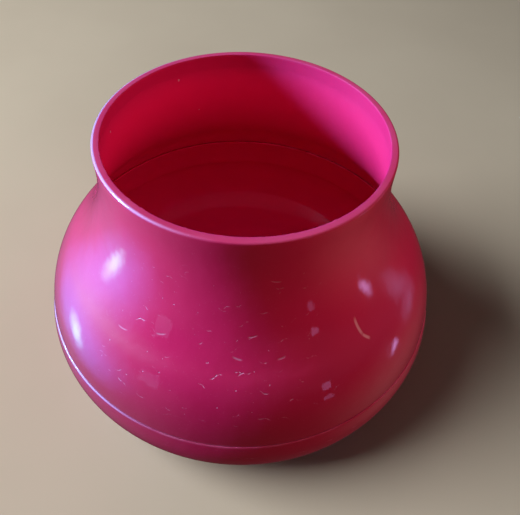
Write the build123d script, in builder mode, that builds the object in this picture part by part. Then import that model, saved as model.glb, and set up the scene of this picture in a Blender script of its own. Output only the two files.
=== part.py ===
"""A squat, wide-mouthed plastic pot: two mouldings cemented together over an inner joining band.

Everything is turned about the Z axis.  Z = 0 is the ground that the foot ring stands on.
"""

import os
from math import asin, atan2, degrees, hypot, sqrt

from build123d import *

# Driving dimensions, in millimetres
overall_radius = 151.0  # the lower shell at its widest
overall_height = 200.0
seam_height = 64.0  # where the upper shell meets the lower shell
wall = 3.2

# Upper shell
neck_radius = 94.6
mouth_radius = 89.8  # inner edge of the rim, where the wall is thickest
flare_start = 189.0  # height at which the straight neck begins to flare
flare_radius = 112.0  # concave sweep from the neck towards the belly
belly_radius = 85.5  # convex sweep of the belly
belly_reach = 148.4  # the belly arc's widest radius from the axis
rim_edge_radius = 1.5
foot_edge_radius = 0.4

# Lower shell
bowl_radius = 46.0  # one sweep from the seam down to the flat base
foot_ring_outer = 99.0
foot_ring_width = 3.5
foot_ring_height = 2.0
lip_edge_radius = 0.6
foot_ring_edge_radius = 0.6

# Joining band
cement_gap = 0.15
band_thickness = 2.2
band_top = 84.5
band_bottom = 56.0
band_edge_radius = 0.5

# The two sweeps touch where the line between their centres crosses them
flare_centre_x = neck_radius + flare_radius
belly_centre_x = belly_reach - belly_radius
centre_distance = flare_radius + belly_radius
centre_drop = sqrt(centre_distance**2 - (flare_centre_x - belly_centre_x) ** 2)
flare_centre = (flare_centre_x, flare_start)
belly_centre = (belly_centre_x, flare_start - centre_drop)
touch_angle = degrees(atan2(centre_drop, flare_centre_x - belly_centre_x))

bowl_centre = (overall_radius - bowl_radius, foot_ring_height + bowl_radius)


def belly_angle(height, radius):
    """Angle on an arc of this radius about the belly centre, at this height."""
    return degrees(asin((height - belly_centre[1]) / radius))


def belly_arc(radius, low, high_angle):
    """An arc about the belly centre, from the height low up to an angle."""
    start = belly_angle(low, radius)
    return CenterArc(belly_centre, radius, start, high_angle - start)


def bowl_arc(radius, low_angle):
    """An arc about the bowl centre, from the seam down to an angle."""
    start = degrees(asin((seam_height - bowl_centre[1]) / radius))
    return CenterArc(bowl_centre, radius, start, low_angle - start)


def edges_near(part, radius, height, reach=0.4):
    """The circular edges whose radius and height are within reach of the given ones."""
    return part.edges().filter_by(GeomType.CIRCLE).filter_by(
        lambda edge: hypot(edge.radius - radius, edge.arc_center.Z - height) < reach
    )


with BuildPart() as upper_shell:
    with BuildSketch(Plane.XZ):
        with BuildLine():
            outer_belly = belly_arc(belly_radius, seam_height, touch_angle)
            outer_flare = CenterArc(flare_centre, flare_radius, 180 + touch_angle, -touch_angle)
            inner_belly = belly_arc(belly_radius - wall, seam_height, touch_angle)
            inner_flare = CenterArc(flare_centre, flare_radius + wall, 180 + touch_angle, -touch_angle)
            Polyline(
                outer_flare @ 1,
                (neck_radius, overall_height),
                (mouth_radius, overall_height),
                inner_flare @ 1,
            )
            Line(outer_belly @ 0, inner_belly @ 0)
        make_face()
    revolve(axis=Axis.Z)
    fillet(edges_near(upper_shell, neck_radius, overall_height), rim_edge_radius)
    fillet(edges_near(upper_shell, (outer_belly @ 0).X, seam_height), foot_edge_radius)

with BuildPart() as lower_shell:
    floor_height = foot_ring_height + wall
    with BuildSketch(Plane.XZ):
        with BuildLine():
            outer_bowl = bowl_arc(bowl_radius, -90)
            inner_bowl = bowl_arc(bowl_radius - wall, -90)
            Line(outer_bowl @ 0, inner_bowl @ 0)
            Polyline(
                outer_bowl @ 1,
                (foot_ring_outer, foot_ring_height),
                (foot_ring_outer, 0),
                (foot_ring_outer - foot_ring_width, 0),
                (foot_ring_outer - foot_ring_width, foot_ring_height),
                (0, foot_ring_height),
                (0, floor_height),
                inner_bowl @ 1,
            )
        make_face()
    revolve(axis=Axis.Z)
    fillet(edges_near(lower_shell, (outer_bowl @ 0).X, seam_height), lip_edge_radius)
    fillet(edges_near(lower_shell, foot_ring_outer, 0), foot_ring_edge_radius)
    fillet(edges_near(lower_shell, foot_ring_outer - foot_ring_width, 0), foot_ring_edge_radius)

with BuildPart() as joining_band:
    fitted_radius = belly_radius - wall - cement_gap  # follows the upper shell's inner face
    inside_radius = fitted_radius - band_thickness
    plug_radius = bowl_radius - wall - cement_gap  # follows the lower shell's inner face
    plug_low_angle = degrees(asin((band_bottom - bowl_centre[1]) / plug_radius))
    with BuildSketch(Plane.XZ):
        with BuildLine():
            fitted = belly_arc(fitted_radius, seam_height, belly_angle(band_top, fitted_radius))
            inside = belly_arc(inside_radius, band_bottom, belly_angle(band_top, inside_radius))
            plug = bowl_arc(plug_radius, plug_low_angle)
            Line(fitted @ 1, inside @ 1)
            Line(fitted @ 0, plug @ 0)
            Line(plug @ 1, inside @ 0)
        make_face()
    revolve(axis=Axis.Z)
    fillet(edges_near(joining_band, (inside @ 1).X, band_top), band_edge_radius)
    fillet(edges_near(joining_band, (inside @ 0).X, band_bottom), band_edge_radius)

os.makedirs("parts", exist_ok=True)

upper_shell.part.label = "upper_shell"
lower_shell.part.label = "lower_shell"
joining_band.part.label = "joining_band"

export_step(upper_shell.part, "parts/upper_shell.step")
export_step(lower_shell.part, "parts/lower_shell.step")
export_step(joining_band.part, "parts/joining_band.step")
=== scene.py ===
import math
import random

import bmesh
import bpy
from mathutils import Matrix, Vector


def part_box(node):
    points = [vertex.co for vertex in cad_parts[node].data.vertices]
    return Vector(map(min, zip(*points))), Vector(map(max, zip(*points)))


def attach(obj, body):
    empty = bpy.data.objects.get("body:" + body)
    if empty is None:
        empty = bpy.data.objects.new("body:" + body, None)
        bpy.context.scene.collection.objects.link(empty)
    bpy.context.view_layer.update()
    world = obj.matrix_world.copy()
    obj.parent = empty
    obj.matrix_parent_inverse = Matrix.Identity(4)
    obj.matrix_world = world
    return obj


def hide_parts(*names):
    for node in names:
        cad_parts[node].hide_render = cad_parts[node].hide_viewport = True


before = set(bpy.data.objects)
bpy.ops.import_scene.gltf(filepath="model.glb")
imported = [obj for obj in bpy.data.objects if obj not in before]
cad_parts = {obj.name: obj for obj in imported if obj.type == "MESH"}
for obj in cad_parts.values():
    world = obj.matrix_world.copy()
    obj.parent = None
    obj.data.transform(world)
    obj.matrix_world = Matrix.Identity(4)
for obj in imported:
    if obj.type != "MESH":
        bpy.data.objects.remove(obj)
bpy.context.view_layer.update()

# ---------------------------------------------------------------- sizes, in metres
# Heights and outer sizes come from the frame. The rest is the pot's own design.
MM = 0.001
_, upper_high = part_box("upper_shell")
_, lower_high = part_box("lower_shell")
band_low, band_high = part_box("joining_band")
WIDEST = lower_high.x
SEAM = lower_high.z
RIM = upper_high.z
BAND_BOTTOM = band_low.z
BAND_TOP = band_high.z

WALL = 3.2 * MM
NECK_RADIUS = 94.6 * MM  # outside, at the mouth
MOUTH_RADIUS = 89.8 * MM  # inside, at the rim's sharp edge
RIM_EDGE_RADIUS = 1.5 * MM
BURR_EDGE_RADIUS = 0.3 * MM
FLARE_START = 189 * MM  # height where the neck starts to widen
FLARE_RADIUS = 112 * MM
BELLY_RADIUS = 85.5 * MM
BELLY_REACH = 148.4 * MM
BOWL_RADIUS = 46 * MM  # one sweep from the seam down to the flat base
LIP_EDGE_RADIUS = 0.6 * MM
RING_OUTER = 99 * MM
RING_WIDTH = 3.5 * MM
RING_HEIGHT = 2 * MM
RING_EDGE_RADIUS = 0.6 * MM
CEMENT_FILM = 0.03 * MM  # drawn thinner than it is, so that no dark slit shows
BAND_THICKNESS = 2.2 * MM
BAND_EDGE_RADIUS = 0.5 * MM

# The flare and the belly are two arcs that touch
FLARE_X = NECK_RADIUS + FLARE_RADIUS
BELLY_X = BELLY_REACH - BELLY_RADIUS
DROP = math.sqrt((FLARE_RADIUS + BELLY_RADIUS) ** 2 - (FLARE_X - BELLY_X) ** 2)
BELLY_Z = FLARE_START - DROP
TOUCH = math.atan2(DROP, FLARE_X - BELLY_X)

BOWL_X = WIDEST - BOWL_RADIUS
BOWL_Z = RING_HEIGHT + BOWL_RADIUS

# Mesh fineness
TURNS = 600
STEP = 2 * MM
FINE_STEP = 0.3 * MM
TINY = 1e-6

FULL_TURN = 2 * math.pi
HALF_TURN = math.pi
QUARTER_TURN = math.pi / 2


# ---------------------------------------------------------------- shapes
def on_circle(centre_x, centre_z, radius, angle):
    """The (radius, height) point of an outline that lies at this angle on a circle."""
    return centre_x + radius * math.cos(angle), centre_z + radius * math.sin(angle)


def arc(centre_x, centre_z, radius, start, end, step=STEP):
    """Points along an arc from one angle to the other."""
    count = max(4, math.ceil(abs(end - start) * radius / step))
    angles = [start + (end - start) * i / count for i in range(count + 1)]
    return [on_circle(centre_x, centre_z, radius, angle) for angle in angles]


def belly_angle(height, radius):
    """The angle on a belly arc of this radius that lies at this height."""
    return math.asin((height - BELLY_Z) / radius)


def bowl_angle(height, radius):
    """The angle on a bowl arc of this radius that lies at this height."""
    return math.asin((height - BOWL_Z) / radius)


def filled_in(corners, longest=STEP):
    """The same closed outline with long edges divided and doubled points dropped."""
    points = []
    for (x0, z0), (x1, z1) in zip(corners, corners[1:] + corners[:1]):
        length = math.hypot(x1 - x0, z1 - z0)
        if length < TINY or (x0 < TINY and x1 < TINY):
            if x0 < TINY and length > TINY:
                points.append((x0, z0))
            continue
        count = math.ceil(length / longest)
        points += [(x0 + (x1 - x0) * i / count, z0 + (z1 - z0) * i / count) for i in range(count)]
    return points


# Slow waves round the moulded wall: lobes round the pot, twist per metre of height, size in mm, phase
WAVES = (
    (2, 11, 0.07, 0.4),
    (3, 38, 0.04, 2.1),
    (5, 61, 0.03, 4.0),
    (9, 83, 0.012, 1.3),
)


def unevenness(turn, height):
    """How far the moulded wall strays outwards here, at most 0.15 mm either way."""
    swell = 0.0
    for lobes, twist, size, phase in WAVES:
        swell += size * MM * math.cos(lobes * turn + twist * height + phase)
    return swell


def lathe(name, outline):
    """Turns a closed outline of (radius, height) points about the Z axis into a closed mesh."""
    mesh = bmesh.new()
    turns = [FULL_TURN * i / TURNS for i in range(TURNS)]
    rings = []
    for radius, height in outline:
        if radius < TINY:
            rings.append([mesh.verts.new((0, 0, height))] * TURNS)
            continue
        ease = min(1, radius / WIDEST)
        ring = []
        for turn in turns:
            reach = radius + ease * unevenness(turn, height)
            ring.append(mesh.verts.new((reach * math.cos(turn), reach * math.sin(turn), height)))
        rings.append(ring)
    for ring, following in zip(rings, rings[1:] + rings[:1]):
        for i in range(TURNS):
            j = (i + 1) % TURNS
            corners = list(dict.fromkeys((ring[i], ring[j], following[j], following[i])))
            if len(corners) > 2:
                mesh.faces.new(corners).smooth = True
    bmesh.ops.recalc_face_normals(mesh, faces=mesh.faces)
    data = bpy.data.meshes.new(name)
    mesh.to_mesh(data)
    mesh.free()
    piece = bpy.data.objects.new(name, data)
    bpy.context.scene.collection.objects.link(piece)
    return piece


def upper_shell():
    """Belly, flare and neck, up to a flat rim with a rounded outer and a nearly sharp inner edge."""
    inner_flare = FLARE_RADIUS + WALL
    inner_belly = BELLY_RADIUS - WALL
    edge = RIM_EDGE_RADIUS
    burr = BURR_EDGE_RADIUS
    outline = filled_in(
        arc(BELLY_X, BELLY_Z, BELLY_RADIUS, belly_angle(SEAM, BELLY_RADIUS), TOUCH)
        + arc(FLARE_X, FLARE_START, FLARE_RADIUS, HALF_TURN + TOUCH, HALF_TURN)
        + arc(NECK_RADIUS - edge, RIM - edge, edge, 0, QUARTER_TURN, FINE_STEP)
        + arc(MOUTH_RADIUS + burr, RIM - burr, burr, QUARTER_TURN, HALF_TURN, FINE_STEP)
        + arc(FLARE_X, FLARE_START, inner_flare, HALF_TURN, HALF_TURN + TOUCH)
        + arc(BELLY_X, BELLY_Z, inner_belly, TOUCH, belly_angle(SEAM, inner_belly))
    )
    return lathe("pot_upper_shell", outline)


def lower_shell():
    """The bowl from the seam down to the base, with a rounded lip and a foot ring."""
    inner_bowl = BOWL_RADIUS - WALL
    ring_inner = RING_OUTER - RING_WIDTH
    edge = RING_EDGE_RADIUS
    lip_reach = BOWL_RADIUS - LIP_EDGE_RADIUS
    lip = bowl_angle(SEAM - LIP_EDGE_RADIUS, lip_reach)
    lip_x, _ = on_circle(BOWL_X, BOWL_Z, lip_reach, lip)
    outline = filled_in(
        arc(BOWL_X, BOWL_Z, BOWL_RADIUS, -QUARTER_TURN, lip)
        + arc(lip_x, SEAM - LIP_EDGE_RADIUS, LIP_EDGE_RADIUS, lip, QUARTER_TURN, FINE_STEP)
        + arc(BOWL_X, BOWL_Z, inner_bowl, bowl_angle(SEAM, inner_bowl), -QUARTER_TURN)
        + [(0, RING_HEIGHT + WALL), (0, RING_HEIGHT), (ring_inner, RING_HEIGHT)]
        + arc(ring_inner + edge, edge, edge, HALF_TURN, HALF_TURN + QUARTER_TURN, FINE_STEP)
        + arc(RING_OUTER - edge, edge, edge, -QUARTER_TURN, 0, FINE_STEP)
        + [(RING_OUTER, RING_HEIGHT)]
    )
    return lathe("pot_lower_shell", outline)


def joining_band():
    """The inner band cemented across the seam, with softened inboard edges."""
    fitted = BELLY_RADIUS - WALL - CEMENT_FILM
    plug = BOWL_RADIUS - WALL - CEMENT_FILM
    inside = BELLY_RADIUS - WALL - BAND_THICKNESS
    round_off = BAND_EDGE_RADIUS / inside
    top = belly_angle(BAND_TOP, inside) - round_off
    bottom = belly_angle(BAND_BOTTOM, inside) + round_off
    top_corner = on_circle(BELLY_X, BELLY_Z, inside + BAND_EDGE_RADIUS, top)
    bottom_corner = on_circle(BELLY_X, BELLY_Z, inside + BAND_EDGE_RADIUS, bottom)
    outline = filled_in(
        arc(BOWL_X, BOWL_Z, plug, bowl_angle(BAND_BOTTOM, plug), bowl_angle(SEAM, plug))
        + arc(BELLY_X, BELLY_Z, fitted, belly_angle(SEAM, fitted), belly_angle(BAND_TOP, fitted))
        + arc(*top_corner, BAND_EDGE_RADIUS, QUARTER_TURN, HALF_TURN + top, FINE_STEP)
        + arc(BELLY_X, BELLY_Z, inside, top, bottom)
        + arc(*bottom_corner, BAND_EDGE_RADIUS, HALF_TURN + bottom, HALF_TURN + QUARTER_TURN, FINE_STEP)
    )
    return lathe("pot_joining_band", outline)


def raise_burrs(piece, count=46, tallest=0.35 * MM):
    """Leaves the small nibs of a trimmed moulding along the mouth's inner edge."""
    chance = random.Random(7)
    nibs = [(chance.uniform(0, FULL_TURN), chance.uniform(0.3, 1.0) ** 2 * tallest) for _ in range(count)]
    half_width = 1.5 * FULL_TURN / TURNS
    lowest = RIM - 1.2 * BURR_EDGE_RADIUS
    outermost = MOUTH_RADIUS + 1.6 * BURR_EDGE_RADIUS
    for vertex in piece.data.vertices:
        radius = math.hypot(vertex.co.x, vertex.co.y)
        if vertex.co.z < lowest or radius > outermost:
            continue
        turn = math.atan2(vertex.co.y, vertex.co.x) % FULL_TURN
        for place, height in nibs:
            away = abs((turn - place + HALF_TURN) % FULL_TURN - HALF_TURN)
            if away < half_width:
                push = height * (1 - away / half_width)
                vertex.co.x *= 1 - push / radius
                vertex.co.y *= 1 - push / radius
                vertex.co.z += 0.6 * push


# ---------------------------------------------------------------- shader building
class Nodes:
    """Short ways to add shader nodes to one tree and wire them together."""

    def __init__(self, tree):
        self.tree = tree

    def feed(self, socket, value):
        """Links an output to a socket, or sets the socket to a plain value."""
        if isinstance(value, bpy.types.NodeSocket):
            self.tree.links.new(value, socket)
        else:
            socket.default_value = value

    def add(self, kind, inputs, **settings):
        """A new node with these settings, its inputs fed by name or number."""
        node = self.tree.nodes.new(kind)
        for name, value in settings.items():
            setattr(node, name, value)
        for name, value in inputs.items():
            self.feed(node.inputs[name], value)
        return node

    def maths(self, operation, *values):
        """The output of a Math node."""
        node = self.tree.nodes.new("ShaderNodeMath")
        node.operation = operation
        for socket, value in zip(node.inputs, values):
            self.feed(socket, value)
        return node.outputs[0]

    def product(self, first, *others):
        """All the values multiplied together."""
        for other in others:
            first = self.maths("MULTIPLY", first, other)
        return first

    def ramp(self, value, start, end, low=0.0, high=1.0):
        """Goes smoothly from low to high as the value goes from start to end."""
        inputs = {"Value": value, "From Min": start, "From Max": end, "To Min": low, "To Max": high}
        return self.add("ShaderNodeMapRange", inputs, interpolation_type="SMOOTHSTEP").outputs[0]

    def within(self, value, start, end, soft):
        """1 between two limits, fading to 0 over the soft margin outside them."""
        return self.product(self.ramp(value, start - soft, start), self.ramp(value, end + soft, end))

    def vector(self, operation, *values):
        """The vector output of a Vector Math node."""
        inputs = dict(enumerate(values))
        return self.add("ShaderNodeVectorMath", inputs, operation=operation).outputs["Vector"]

    def split(self, vector):
        """The three parts of a vector."""
        return self.add("ShaderNodeSeparateXYZ", {"Vector": vector}).outputs

    def turned(self, vector, angle):
        """The vector turned about the Z axis."""
        inputs = {"Vector": vector, "Angle": angle}
        return self.add("ShaderNodeVectorRotate", inputs, rotation_type="Z_AXIS").outputs[0]

    def mix(self, factor, first, second):
        """The first colour where the factor is 0, the second where it is 1."""
        node = self.tree.nodes.new("ShaderNodeMix")
        node.data_type = "RGBA"
        self.feed(node.inputs["Factor"], factor)
        self.feed(node.inputs["A"], first)
        self.feed(node.inputs["B"], second)
        return node.outputs["Result"]


class Surface(Nodes):
    """A new material with its Principled shader, and the position and facing that its patterns use."""

    def __init__(self, name):
        self.material = bpy.data.materials.new(name)
        self.material.use_nodes = True
        super().__init__(self.material.node_tree)
        self.shader = self.tree.nodes["Principled BSDF"]
        self.place = self.tree.nodes.new("ShaderNodeTexCoord").outputs["Object"]
        self.x, self.y, self.height = self.split(self.place)
        squares = self.maths("ADD", self.product(self.x, self.x), self.product(self.y, self.y))
        self.radius = self.maths("SQRT", squares)
        normal = self.tree.nodes.new("ShaderNodeNewGeometry").outputs["Normal"]
        self.normal_x, self.normal_y, self.upward = self.split(normal)

    def set(self, **values):
        """Feeds the Principled shader's inputs, written with underscores for spaces."""
        for name, value in values.items():
            self.feed(self.shader.inputs[name.replace("_", " ")], value)

    def noise(self, scale, detail=2.0, stretch=None):
        """Cloudy values from 0 to 1, in patches about 1 / scale metres across."""
        place = self.vector("MULTIPLY", self.place, stretch) if stretch else self.place
        return self.add("ShaderNodeTexNoise", {"Vector": place, "Scale": scale, "Detail": detail}).outputs[0]

    def bump(self, height, distance, normal=None):
        """The normal where the surface rises by height times distance, on top of the bumps in normal."""
        inputs = {"Height": height, "Distance": distance, "Strength": 1.0}
        if normal:
            inputs["Normal"] = normal
        return self.add("ShaderNodeBump", inputs).outputs[0]

    def paint(self, amount, colour):
        """Mixes a colour over what the surface has so far."""
        self.colour = self.mix(amount, self.colour, colour)


CRIMSON = (0.76, 0.010, 0.095, 1)
DEEP_CRIMSON = (0.70, 0.008, 0.083, 1)
LOW_CRIMSON = (0.47, 0.005, 0.052, 1)  # low on the belly and below the seam; partly shade
INNER_CRIMSON = (0.76, 0.020, 0.150, 1)  # inside the pot; partly light
WINDOW_GLINT = (0.80, 0.50, 0.85, 1)  # light, not pigment: painted on the left edges
SCRATCH_PINK = (0.85, 0.30, 0.42, 1)
GOUGE_SALMON = (1.0, 0.50, 0.48, 1)
DUST = (0.75, 0.62, 0.60, 1)
DARK_FLOOR_TONE = (0.20, 0.02, 0.05, 1)

ROUND = 0.13  # radius at which distance around the belly is measured


def inner_side(graph):
    """1 on every face that looks into the pot, 0 on the outside."""
    along_x = graph.product(graph.x, graph.normal_x)
    along_y = graph.product(graph.y, graph.normal_y)
    outwards = graph.maths("DIVIDE", graph.maths("ADD", along_x, along_y), graph.radius)
    facing_in = graph.ramp(outwards, -0.02, -0.12)
    on_floor = graph.product(graph.ramp(graph.upward, 0.75, 0.85), graph.ramp(graph.height, 20 * MM, 15 * MM))
    return graph.maths("MAXIMUM", facing_in, on_floor)


def unrolled(graph):
    """The surface laid flat: distance round from the front, and height."""
    back = graph.maths("MULTIPLY", graph.y, -1.0)
    around = graph.product(graph.maths("ARCTAN2", graph.x, back), ROUND)
    return around, graph.add("ShaderNodeCombineXYZ", {"X": around, "Y": graph.height}).outputs[0]


def line_mask(graph, along, across, half_length, width):
    """1 on a short line lying along the first axis, fading out at its ends and sides."""
    ends = graph.maths("DIVIDE", graph.maths("ABSOLUTE", along), half_length)
    sides = graph.ramp(graph.maths("ABSOLUTE", across), width, 0.3 * width)
    return graph.product(sides, graph.ramp(ends, 1.0, 0.4))


def scattered(graph, cell, shift):
    """A loose grid: each point's offset from the middle of its cell, and three chances drawn for the cell."""
    moved = graph.vector("ADD", graph.flat, (shift, shift, 0))
    inputs = {"Vector": moved, "Scale": 1 / cell, "Randomness": 0.9}
    cells = graph.add("ShaderNodeTexVoronoi", inputs, voronoi_dimensions="2D").outputs
    local = graph.vector("SUBTRACT", moved, cells["Position"])
    return local, graph.add("ShaderNodeSeparateColor", {"Color": cells["Color"]}).outputs


def wavy_marks(graph, cell, longest, width, kept, shift):
    """Short wavy scratches that lie mostly level, at most one in each cell of a loose grid.

    About the kept share of the cells have one. The shift picks another part of the grid.
    """
    local, chance = scattered(graph, cell, shift)
    along, across, _ = graph.split(graph.turned(local, graph.ramp(chance[1], 0, 1, -0.45, 0.45)))
    start = graph.product(chance[2], 9.0)
    wave = graph.maths("SINE", graph.maths("MULTIPLY_ADD", along, FULL_TURN / (0.8 * longest), start))
    curved = graph.maths("SUBTRACT", across, graph.product(wave, 0.05 * longest))
    half = graph.ramp(chance[2], 0.1, 0.9, 0.15 * longest, 0.5 * longest)
    faded = graph.ramp(graph.noise(520, 1), 0.40, 0.60, 0.1, 1.0)
    shown = graph.ramp(chance[0], 1 - kept, 1.05 - 0.4 * kept)
    return graph.product(line_mask(graph, along, curved, half, width), faded, shown)


def specks(graph, cell, size, kept, shift):
    """Small round dots, at most one in each cell of a loose grid."""
    local, chance = scattered(graph, cell, shift)
    distance = graph.add("ShaderNodeVectorMath", {0: local}, operation="LENGTH").outputs["Value"]
    reach = graph.ramp(chance[1], 0, 1, 0.4 * size, size)
    shown = graph.maths("GREATER_THAN", chance[0], 1 - kept)
    return graph.product(graph.ramp(graph.maths("DIVIDE", distance, reach), 1.0, 0.5), shown)


def stroke(graph, angle, height, length, tilt, width):
    """One slightly bowed scratch: its angle round from the front and tilt in degrees, the rest in mm."""
    along = graph.maths("SUBTRACT", graph.around, math.radians(angle) * ROUND)
    up = graph.maths("SUBTRACT", graph.height, height * MM)
    place = graph.add("ShaderNodeCombineXYZ", {"X": along, "Y": up}).outputs[0]
    along, across, _ = graph.split(graph.turned(place, -math.radians(tilt)))
    bowed = graph.maths("SUBTRACT", across, graph.product(along, along, 22.0))
    return line_mask(graph, along, bowed, 0.5 * length * MM, width * MM)


def plastic(name):
    """The crimson moulded plastic that all the pieces share, before a piece's own wear."""
    graph = Surface(name)
    graph.inside = inner_side(graph)
    graph.outside = graph.ramp(graph.inside, 0.6, 0.2)
    graph.around, graph.flat = unrolled(graph)
    graph.on_left = graph.ramp(graph.x, -10 * MM, -110 * MM)
    graph.haze = graph.ramp(graph.noise(30, 4), 0.3, 0.7)
    hairlines = graph.ramp(graph.noise(1, 3, stretch=(260, 260, 1900)), 0.60, 0.74)

    graph.colour = graph.mix(graph.ramp(graph.noise(14, 3), 0.35, 0.65), DEEP_CRIMSON, CRIMSON)
    graph.paint(graph.ramp(graph.height, 128 * MM, 70 * MM), LOW_CRIMSON)
    graph.paint(graph.product(graph.inside, 0.8), INNER_CRIMSON)
    graph.paint(graph.ramp(graph.noise(900, 2), 0.62, 0.80, 0, 0.10), SCRATCH_PINK)

    rough = graph.maths("ADD", graph.ramp(graph.haze, 0, 1, 0.42, 0.52), graph.product(hairlines, 0.12))
    rough = graph.maths("ADD", rough, graph.product(graph.inside, 0.2))
    coat_rough = graph.maths("ADD", graph.ramp(graph.haze, 0, 1, 0.03, 0.08), graph.product(hairlines, 0.08))
    specular = graph.ramp(graph.inside, 0, 1, 0.3, 0.25)
    graph.set(Roughness=rough, Coat_Roughness=coat_rough, Specular_IOR_Level=specular)
    graph.coat = graph.ramp(graph.inside, 0, 1, 0.85, 0.1)
    ripple = graph.maths("ADD", graph.noise(55, 2), graph.product(graph.noise(420, 2), 0.06))
    graph.normal = graph.bump(ripple, 0.35 * MM)
    return graph


def finish_plastic(graph):
    """Hands the gathered colour, coat and normal to the shader."""
    graph.set(Base_Color=graph.colour, Coat_Weight=graph.coat, Normal=graph.normal, Coat_Normal=graph.normal)
    return graph.material


# Degrees and mm: angle round from the front, height, length, tilt, half width, and then strength
LONG_SCRATCHES = (
    (11, 169, 10, -10, 0.55, 0.7),
    (3.5, 134, 8, 8, 0.6, 0.9),
    (-25, 126, 9, 14, 0.6, 0.6),
    (-38, 118, 10, 4, 0.5, 0.5),
    (-1, 122, 8, -14, 0.7, 0.7),
    (12, 121, 7, 10, 0.7, 0.7),
)
# The same without strength: a long stroke down the right of the belly and the hook at its foot
GOUGE = ((38.4, 121.5, 14, -78, 1.5), (40.0, 114.4, 8, -42, 1.2))


def belly_marks(graph):
    """Wavy scratches and dots where the front of the belly has been rubbed, and the largest scratches."""
    on_front = graph.within(graph.around, -78 * MM, 42 * MM, 30 * MM)
    on_belly = graph.within(graph.height, 96 * MM, 164 * MM, 16 * MM)
    patchy = graph.ramp(graph.noise(16, 2), 0.40, 0.60, 0.55, 1.0)
    long_marks = wavy_marks(graph, cell=15 * MM, longest=10 * MM, width=0.42 * MM, kept=0.75, shift=0.37)
    short_marks = wavy_marks(graph, cell=10 * MM, longest=6 * MM, width=0.36 * MM, kept=0.5, shift=0.91)
    dots = specks(graph, cell=10 * MM, size=0.5 * MM, kept=0.22, shift=0.53)
    marks = graph.maths("MAXIMUM", graph.maths("MAXIMUM", long_marks, short_marks), dots)
    marks = graph.product(marks, on_front, on_belly, graph.outside, patchy)
    for *place, strength in LONG_SCRATCHES:
        scratch = graph.product(stroke(graph, *place), strength, graph.outside)
        marks = graph.maths("MAXIMUM", marks, scratch)
    return marks


def wear_rim_and_paint_edge_glints(graph):
    """Rubs and chips the rim all round, and paints the window's glint on the edges at the left."""
    at_rim = graph.ramp(graph.height, RIM - 1.6 * MM, RIM - 0.3 * MM)
    worn = graph.product(at_rim, graph.ramp(graph.haze, 0.1, 0.9, 0.2, 0.5))
    graph.paint(graph.product(worn, 0.2), SCRATCH_PINK)
    outermost = graph.ramp(graph.radius, NECK_RADIUS - 2 * MM, NECK_RADIUS - MM)
    # painted highlight: the window's glint on the rim's outer edge at the left
    graph.paint(graph.product(at_rim, graph.outside, outermost, graph.on_left, 0.8), WINDOW_GLINT)
    foot = graph.ramp(graph.height, SEAM + 1.6 * MM, SEAM)
    # painted highlight: the window's glint along the shell's lower edge at the left
    graph.paint(graph.product(foot, graph.outside, graph.on_left, 0.35), WINDOW_GLINT)
    chips = specks(graph, cell=7 * MM, size=0.6 * MM, kept=0.35, shift=0.71)
    graph.paint(graph.product(chips, worn), DUST)


def upper_plastic():
    """Scratched on the front of the belly, worn at the rim, specked inside the neck."""
    graph = plastic("crimson_upper")
    marks = belly_marks(graph)
    graph.paint(graph.product(marks, 0.8), SCRATCH_PINK)
    gouge = graph.maths("MAXIMUM", *(stroke(graph, *place) for place in GOUGE))
    gouge = graph.product(gouge, graph.outside)
    graph.paint(graph.product(gouge, 0.9), GOUGE_SALMON)
    in_neck = graph.product(graph.ramp(graph.height, 140 * MM, 150 * MM), graph.inside)
    inner_specks = specks(graph, cell=26 * MM, size=1.3 * MM, kept=0.22, shift=0.17)
    graph.paint(graph.product(inner_specks, in_neck), DUST)
    wear_rim_and_paint_edge_glints(graph)
    graph.normal = graph.bump(graph.maths("MAXIMUM", marks, gouge), -0.12 * MM, graph.normal)
    return finish_plastic(graph)


def lower_plastic():
    """Scuffed along the lip, with a painted highlight there too, dusty round the foot, and darker in patches
    in the middle of the floor inside.

    The lip also carries the window's glint at the left, and a duller coat elsewhere to keep it there.
    """
    graph = plastic("crimson_lower")
    lip = graph.product(graph.ramp(graph.height, SEAM - 1.6 * MM, SEAM - 0.3 * MM), graph.outside)
    # lighter along the lip all round: partly scuffs, partly a painted highlight of the seam's light line
    lip_scuffs_and_highlight = graph.product(lip, graph.ramp(graph.noise(70, 4), 0.35, 0.65, 0.1, 0.45), 0.5)
    nicks = wavy_marks(graph, cell=16 * MM, longest=7 * MM, width=0.5 * MM, kept=0.5, shift=0.23)
    # scuffs and nicks, together with the lip's painted highlight
    worn = graph.maths("MAXIMUM", lip_scuffs_and_highlight, graph.product(nicks, graph.outside, 0.45))
    graph.paint(worn, SCRATCH_PINK)
    # painted highlight: the window's glint along the lip at the left
    graph.paint(graph.product(lip, graph.ramp(graph.x, -40 * MM, -130 * MM), 0.8), WINDOW_GLINT)
    dust = graph.product(graph.ramp(graph.height, 22 * MM, 3 * MM), graph.ramp(graph.haze, 0, 1, 0.08, 0.35))
    graph.paint(graph.product(dust, graph.outside), DUST)
    middle = graph.ramp(graph.radius, 100 * MM, 40 * MM)
    # darker in patches in the middle of the floor inside
    darker_patches = graph.product(graph.ramp(graph.noise(22, 5), 0.50, 0.66), graph.inside, middle)
    graph.paint(graph.product(darker_patches, 0.35), DARK_FLOOR_TONE)
    dulled = graph.product(lip, graph.ramp(graph.x, -130 * MM, -80 * MM))
    graph.coat = graph.product(graph.coat, graph.ramp(dulled, 0, 1, 1.0, 0.15))
    graph.normal = graph.bump(worn, -0.10 * MM, graph.normal)
    return finish_plastic(graph)


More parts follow.
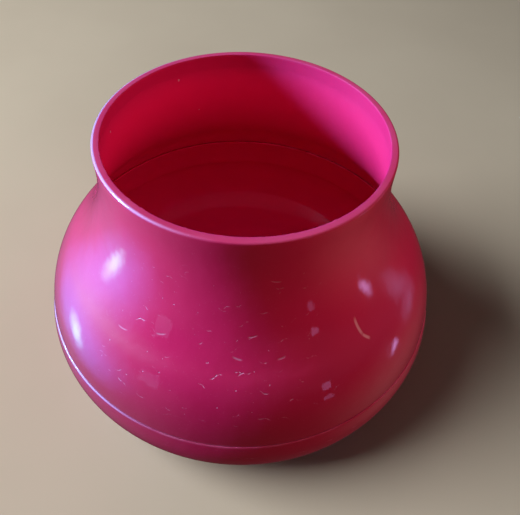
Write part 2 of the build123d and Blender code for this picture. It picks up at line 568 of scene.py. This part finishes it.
def band_plastic():
    """Paler along its top edge on the right, a painted highlight, and lightly scratched."""
    graph = plastic("crimson_band")
    top_edge = graph.ramp(graph.height, BAND_TOP - 1.2 * MM, BAND_TOP - 0.2 * MM)
    on_right = graph.ramp(graph.x, -10 * MM, 50 * MM)
    # painted highlight: the top edge is paler on the right, where light through the mouth falls
    top_edge_highlight = graph.product(top_edge, on_right, graph.ramp(graph.noise(60, 3), 0.3, 0.6))
    marks = wavy_marks(graph, cell=18 * MM, longest=9 * MM, width=0.5 * MM, kept=0.4, shift=0.61)
    graph.paint(graph.product(graph.maths("MAXIMUM", top_edge_highlight, marks), 0.4), SCRATCH_PINK)
    return finish_plastic(graph)


# ---------------------------------------------------------------- the pieces
upper = upper_shell()
raise_burrs(upper)
lower = lower_shell()
band = joining_band()
for piece, node, make_material in (
    (upper, "upper_shell", upper_plastic),
    (lower, "lower_shell", lower_plastic),
    (band, "joining_band", band_plastic),
):
    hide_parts(node)
    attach(piece, "root")
    piece.data.materials.append(make_material())


# ---------------------------------------------------------------- floor
pot_only = bpy.data.collections.new("pot_only")
floor_only = bpy.data.collections.new("floor_only")
for piece in (upper, lower, band):
    pot_only.objects.link(piece)

BACKDROP = (0.42, 0.37, 0.31, 1)
PALE_FLOOR = (0.64, 0.58, 0.47, 1)
PALER_FLOOR = (0.70, 0.64, 0.52, 1)
FLOOR_AS_WOOD = (0.18, 0.13, 0.09, 1)  # what the floor sends back to the pot
BLACK = (0, 0, 0, 1)
FLOOR_REACH = 6.0  # from the pot to each side of the floor


def floor():
    """A plain pale floor that fades into the backdrop. It sends the pot darker light, as wood does."""
    data = bpy.data.meshes.new("floor")
    far = FLOOR_REACH
    corners = [(-far, -far, 0), (far, -far, 0), (far, far, 0), (-far, far, 0)]
    data.from_pydata(corners, [], [(0, 1, 2, 3)])
    plane = bpy.data.objects.new("floor", data)
    bpy.context.scene.collection.objects.link(plane)
    graph = Surface("floor")
    to_camera = graph.tree.nodes.new("ShaderNodeLightPath").outputs["Is Camera Ray"]
    pale = graph.mix(graph.ramp(graph.noise(2.5, 4), 0.3, 0.7), PALE_FLOOR, PALER_FLOOR)
    faded = graph.product(graph.ramp(graph.radius, 0.8, 2.2), to_camera)
    seen = graph.mix(faded, pale, BLACK)
    graph.set(Base_Color=graph.mix(to_camera, FLOOR_AS_WOOD, seen), Roughness=0.7, Specular_IOR_Level=0)
    graph.set(Emission_Color=BACKDROP, Emission_Strength=faded)
    data.materials.append(graph.material)
    plane.visible_glossy = False
    floor_only.objects.link(plane)


# ---------------------------------------------------------------- lamps
POT_CENTRE = Vector((0, 0, 0.12))
LAMP_DISTANCE = 2.4

# Coloured lamps, not white ones: a blue window, and red for the light that the pot's walls pass on
WINDOW_BLUE = (0.35, 0.58, 0.90)
CEILING_BLUE = (0.05, 0.50, 1.0)
WALL_RED = (1.0, 0.38, 0.38)
DEEP_RED = (1.0, 0.10, 0.14)
INNER_RED = (1.0, 0.05, 0.2)
PANE_VIOLET = (0.85, 0.42, 1.0)
PANE_BLUE = (0.45, 0.45, 1.0)
DAYLIGHT = (1.0, 0.98, 0.97)


def spanning(angle):
    """The width that fills this many degrees of view at the lamps' distance."""
    return 2 * LAMP_DISTANCE * math.tan(math.radians(angle) / 2)


def lamp(name, azimuth, elevation, width, height, power, colour, lights, mirrored=True):
    """A far rectangular lamp aimed at the pot. Azimuth runs clockwise from +Y; width and height are angles.

    It lights only the pot or only the floor. A glare lamp is only seen mirrored in the pot.
    """
    turn = math.radians(azimuth)
    rise = math.radians(elevation)
    data = bpy.data.lights.new(name, "AREA")
    data.shape = "RECTANGLE"
    data.size = spanning(width)
    data.size_y = spanning(height)
    data.energy = power
    data.color = colour
    place = bpy.data.objects.new(name, data)
    away = Vector((math.sin(turn) * math.cos(rise), math.cos(turn) * math.cos(rise), math.sin(rise)))
    place.location = POT_CENTRE + LAMP_DISTANCE * away
    place.rotation_euler = away.to_track_quat("Z", "Y").to_euler()
    place.visible_camera = False
    place.visible_glossy = mirrored
    place.visible_diffuse = lights != "glare"
    place.light_linking.receiver_collection = floor_only if lights == "floor" else pot_only
    if lights != "floor":
        place.light_linking.blocker_collection = pot_only
    bpy.context.scene.collection.objects.link(place)


def inner_lamp(power):
    """A soft round lamp at the mouth that only lights the inside of the pot, in the plastic's own red."""
    data = bpy.data.lights.new("inner", "AREA")
    data.shape = "DISK"
    data.size = 1.7 * MOUTH_RADIUS
    data.energy = power
    data.color = INNER_RED
    place = bpy.data.objects.new("inner", data)
    place.location = (0, 0, RIM - 10 * MM)
    place.visible_camera = False
    place.visible_glossy = False
    place.light_linking.receiver_collection = pot_only
    bpy.context.scene.collection.objects.link(place)


def lamps():
    """The window and what fills its shadows, three mirrored panes, and the floor's daylight."""
    lamp("window", -91, 20, 9, 21, 190, WINDOW_BLUE, "pot")
    lamp("ceiling", 20, 80, 50, 50, 7.5, CEILING_BLUE, "pot", mirrored=False)
    lamp("fill_right", 100, 30, 50, 40, 20, WALL_RED, "pot", mirrored=False)
    for azimuth, power in ((180, 5.3), (-50, 2), (30, 4)):
        lamp("fill", azimuth, 25, 80, 60, power, DEEP_RED, "pot", mirrored=False)
    lamp("pane_low", 138, -13, 4, 5, 0.12, PANE_VIOLET, "glare")
    lamp("pane_high", 138, -1, 4, 6, 0.24, PANE_VIOLET, "glare")
    lamp("pane_left", -136, 0, 9, 12, 0.7, PANE_BLUE, "glare")
    inner_lamp(0.035)
    lamp("daylight", -91, 40, 34, 30, 60, DAYLIGHT, "floor")


# ---------------------------------------------------------------- the room round the pot
# Soft patches of light in the mirrored room: azimuth, elevation, full width, full height, colour
GLOWS = (
    (-88, -22, 18, 24, (2.5, 7.5, 8.0)),
    (-92, -12, 86, 66, (0.2, 1.35, 6.3)),
    (-95, 35, 120, 80, (1.2, 3.0, 5.3)),
    (97, -16, 9, 15, (4.4, 2.6, 6.4)),
    (78, -8, 26, 28, (0.5, 0.45, 1.0)),
    (100, -30, 100, 70, (0.32, 0.14, 0.14)),
)
# The colours that light the pot
ROOM_WALLS = (0.030, 0.028, 0.026, 1)
ROOM_CEILING = (0.045, 0.042, 0.038, 1)
# The colours that the pot mirrors
WALLS_LEFT = (0.01, 0.03, 0.03, 1)
WALLS_RIGHT = (0.04, 0.07, 0.11, 1)
CEILING_SEEN = (1.3, 0.45, 0.80, 1)
GROUND_LEFT = (0.30, 0.36, 0.36, 1)
GROUND_RIGHT = (0.10, 0.025, 0.03, 1)


def glow(graph, toward, up, azimuth, elevation, width, height):
    """1 at a direction in the room, falling smoothly to 0 at the edge of an ellipse round it."""
    aside = graph.maths("SUBTRACT", toward, math.radians(azimuth))
    aside = graph.maths("DIVIDE", graph.maths("WRAP", aside, -math.pi, math.pi), math.radians(width) / 2)
    above = graph.maths("SUBTRACT", up, math.radians(elevation))
    above = graph.maths("DIVIDE", above, math.radians(height) / 2)
    away = graph.maths("ADD", graph.product(aside, aside), graph.product(above, above))
    return graph.ramp(graph.maths("SQRT", away), 1.0, 0.0)


def room():
    """Soft light from all round. The pot mirrors another room than the one that lights it."""
    world = bpy.data.worlds.new("room")
    bpy.context.scene.world = world
    world.use_nodes = True
    graph = Nodes(world.node_tree)
    right, ahead, up = graph.split(graph.tree.nodes.new("ShaderNodeTexCoord").outputs["Generated"])
    lit = graph.mix(graph.ramp(up, 0.0, 0.95), ROOM_WALLS, ROOM_CEILING)
    walls = graph.mix(graph.ramp(right, -0.9, 0.5), WALLS_LEFT, WALLS_RIGHT)
    walls = graph.mix(graph.ramp(up, 0.2, 0.9), walls, CEILING_SEEN)
    ground = graph.mix(graph.ramp(right, -0.98, -0.2), GROUND_LEFT, GROUND_RIGHT)
    mirrored = graph.mix(graph.ramp(up, -0.10, 0.10), ground, walls)
    toward = graph.maths("ARCTAN2", right, ahead)
    elevation = graph.maths("ARCSINE", up)
    for *ellipse, colour in GLOWS:
        light = glow(graph, toward, elevation, *ellipse)
        mirrored = graph.vector("MULTIPLY_ADD", light, colour, mirrored)
    rays = graph.tree.nodes.new("ShaderNodeLightPath").outputs
    seen = graph.mix(rays["Is Glossy Ray"], lit, mirrored)
    seen = graph.mix(rays["Is Camera Ray"], seen, BACKDROP)
    graph.feed(graph.tree.nodes["Background"].inputs["Color"], seen)


# ---------------------------------------------------------------- camera
CAMERA_PLACE = (0, -0.2716, 0.4004)
CAMERA_PAN = -2.79
CAMERA_DOWN = 49.94  # below level, in degrees
CAMERA_ROLL = 3.69
FOCAL_LENGTH = 36.55  # for a 36 mm wide film


def camera():
    """Looks down on the pot from in front."""
    data = bpy.data.cameras.new("camera")
    data.lens = FOCAL_LENGTH
    data.sensor_width = 36
    viewer = bpy.data.objects.new("camera", data)
    pan = Matrix.Rotation(math.radians(CAMERA_PAN), 4, "Z")
    tilt = Matrix.Rotation(math.radians(90 - CAMERA_DOWN), 4, "X")
    roll = Matrix.Rotation(math.radians(CAMERA_ROLL), 4, "Z")
    viewer.matrix_world = Matrix.Translation(CAMERA_PLACE) @ pan @ tilt @ roll
    bpy.context.scene.collection.objects.link(viewer)
    bpy.context.scene.camera = viewer


floor()
lamps()
room()
camera()
bpy.context.scene.view_settings.view_transform = "Standard"
